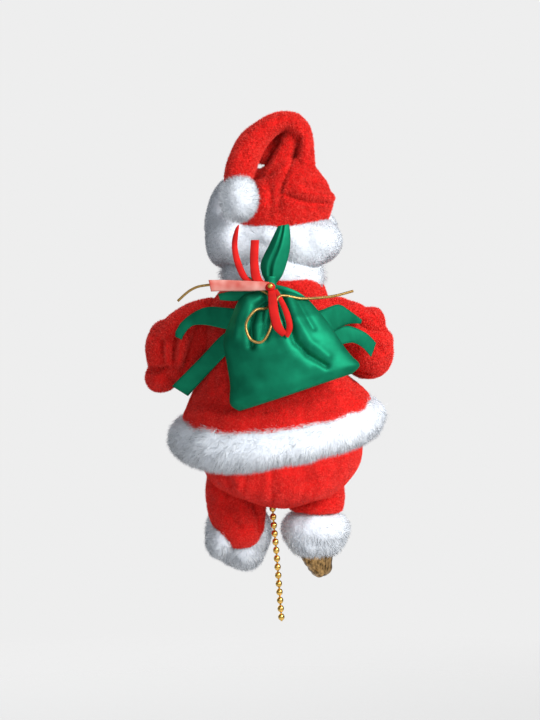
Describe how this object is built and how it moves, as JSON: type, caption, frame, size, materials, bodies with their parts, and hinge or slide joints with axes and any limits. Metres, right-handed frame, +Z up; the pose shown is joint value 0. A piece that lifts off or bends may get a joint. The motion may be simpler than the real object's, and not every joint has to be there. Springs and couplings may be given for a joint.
{
  "type": "hanging climbing figure",
  "caption": "Plush figure in a red suit with a green sack that hangs on a gold ball chain; motor, gears, batteries, switch and speaker inside, and swinging arms and legs.",
  "frame": {"origin": "inner top of the hanging ring, where a hook holds it", "axes": "+Z up; the figure looks along -Y; +X is its own left side"},
  "size_m": [0.1246, 0.1267, 0.2605],
  "materials": {
    "shell": "moulded, off-white",
    "steel": "plain",
    "cell": "printed sleeve",
    "gear": "moulded, natural",
    "board": "green lacquer",
    "black_plastic": "moulded, black",
    "face": "painted",
    "white_fur": "long-haired fur",
    "red_plush": "short pile",
    "mitten": "felt",
    "boot": "shiny brown",
    "green_satin": "satin",
    "red_satin": "satin",
    "gold_thread": "twisted metallic thread",
    "gold_beads": "bright plated"
  },
  "bodies": {
    "body": {"front_housing": "shell", "rear_housing": "shell", "gear_plate": "shell", "housing_screw_upper": "steel", "housing_screw_lower": "steel", "battery_left": "cell", "battery_right": "cell", "battery_bridge_contact": "steel", "battery_positive_contact": "steel", "battery_negative_spring": "steel", "motor": "steel", "circuit_board": "board", "switch_body": "steel", "speaker": "black_plastic", "head": "face", "beard": "white_fur", "hair": "white_fur", "hat_band": "white_fur", "hat": "red_plush", "pom_pom": "white_fur", "jacket": "red_plush", "hem_trim": "white_fur", "trousers": "red_plush", "sack": "green_satin", "left_strap": "green_satin", "right_strap": "green_satin", "sack_ribbon": "red_satin", "gold_cord": "gold_thread", "chain_lower": "gold_beads", "chain_inside": "gold_beads", "chain_middle": "gold_beads", "chain_hank": "gold_beads", "chain_top": "gold_beads", "chain_tie": "red_satin", "hanging_ring": "gold_beads"},
    "drive": {"drive_wheel": "gear", "crank_shaft": "steel", "left_crank": "gear", "right_crank": "gear"},
    "second_stage": {"second_gear": "gear"},
    "first_stage": {"first_gear": "gear"},
    "rotor": {"motor_pinion": "gear"},
    "left_arm": {"left_arm_lever": "shell", "left_sleeve": "red_plush", "left_hand": "mitten"},
    "right_arm": {"right_arm_lever": "shell", "right_sleeve": "red_plush", "right_hand": "mitten"},
    "left_foot": {"left_leg_lever": "shell", "left_leg": "red_plush", "left_boot_cuff": "white_fur", "left_boot": "boot"},
    "right_foot": {"right_leg_lever": "shell", "right_leg": "red_plush", "right_boot_cuff": "white_fur", "right_boot": "boot"},
    "left_link": {"left_rod": "gear"},
    "right_link": {"right_rod": "gear"},
    "knob": {"switch_knob": "black_plastic"},
    "door": {"battery_door": "shell"}
  },
  "joints": [
    {"name": "drive_spin", "type": "hinge", "parent": "body", "child": "drive", "pos_m": [0, 0.043, -0.155], "axis": [1, 0, 0], "continuous": true},
    {"name": "second_gear_spin", "type": "hinge", "parent": "body", "child": "second_stage", "pos_m": [0, 0.043, -0.145], "axis": [1, 0, 0], "continuous": true},
    {"name": "first_gear_spin", "type": "hinge", "parent": "body", "child": "first_stage", "pos_m": [0, 0.043, -0.135], "axis": [1, 0, 0], "continuous": true},
    {"name": "motor_spin", "type": "hinge", "parent": "body", "child": "rotor", "pos_m": [0, 0.043, -0.125], "axis": [1, 0, 0], "continuous": true},
    {"name": "left_arm_swing", "type": "hinge", "parent": "body", "child": "left_arm", "pos_m": [0, 0.051, -0.101], "axis": [1, 0, 0], "range_deg": [-12, 12]},
    {"name": "right_arm_swing", "type": "hinge", "parent": "body", "child": "right_arm", "pos_m": [0, 0.051, -0.101], "axis": [1, 0, 0], "range_deg": [-12, 12]},
    {"name": "left_leg_swing", "type": "hinge", "parent": "body", "child": "left_foot", "pos_m": [0, 0.043, -0.1715], "axis": [1, 0, 0], "range_deg": [-8.4, 8.4]},
    {"name": "right_leg_swing", "type": "hinge", "parent": "body", "child": "right_foot", "pos_m": [0, 0.043, -0.1715], "axis": [1, 0, 0], "range_deg": [-8.4, 8.4]},
    {"name": "left_rod_pivot", "type": "hinge", "parent": "left_arm", "child": "left_link", "pos_m": [0, 0.039, -0.101], "axis": [1, 0, 0], "range_deg": [-12, 12]},
    {"name": "right_rod_pivot", "type": "hinge", "parent": "right_arm", "child": "right_link", "pos_m": [0, 0.039, -0.101], "axis": [1, 0, 0], "range_deg": [-12, 12]},
    {"name": "switch_slide", "type": "slide", "parent": "body", "child": "knob", "axis": [1, 0, 0], "range_m": [0, 0.003]},
    {"name": "battery_door_slide", "type": "slide", "parent": "body", "child": "door", "axis": [0, 0, -1], "range_m": [0, 0.008]}
  ],
  "couplings": [
    {"joint": "second_gear_spin", "follows": "drive_spin", "ratio": -3},
    {"joint": "first_gear_spin", "follows": "drive_spin", "ratio": 9},
    {"joint": "motor_spin", "follows": "drive_spin", "ratio": -27},
    {"joint": "right_arm_swing", "follows": "left_arm_swing", "ratio": -1},
    {"joint": "left_leg_swing", "follows": "left_arm_swing", "ratio": -0.7},
    {"joint": "right_leg_swing", "follows": "left_arm_swing", "ratio": 0.7},
    {"joint": "left_rod_pivot", "follows": "left_arm_swing", "ratio": -1},
    {"joint": "right_rod_pivot", "follows": "left_arm_swing", "ratio": 1}
  ]
}
